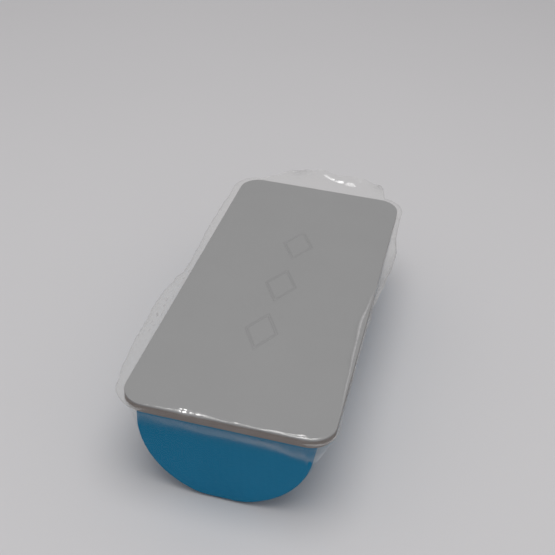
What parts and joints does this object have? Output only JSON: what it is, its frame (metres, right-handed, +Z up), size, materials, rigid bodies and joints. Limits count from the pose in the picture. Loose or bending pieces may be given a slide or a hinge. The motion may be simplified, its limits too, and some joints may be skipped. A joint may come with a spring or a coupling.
{
  "type": "film-wrapped cue chalk block",
  "caption": "Half-round block of blue cue chalk glued under a thin grey backing board with rounded corners, sealed in clear shrink film.",
  "frame": {"origin": "centre of the narrow flat along the underside that the wrapped block rests on", "axes": "+Y along the block, from the near end to the end where the film's seam is widest; +X across it; +Z up, out of the board's face"},
  "size_m": [0.0308, 0.0629, 0.0142],
  "materials": {
    "chalk": "matt pressed chalk, sea blue",
    "adhesive": "dried clear-white adhesive",
    "board_core": "cut edge of grey board",
    "face_sheet": "matt grey face sheet with pressed outlines",
    "shrink_film": "thin clear shrink film"
  },
  "bodies": {
    "root": {"chalk_block": "chalk", "adhesive_layer": "adhesive", "board_core": "board_core", "face_sheet": "face_sheet", "film_wrap": "shrink_film", "film_seam": "shrink_film"}
  },
  "joints": []
}
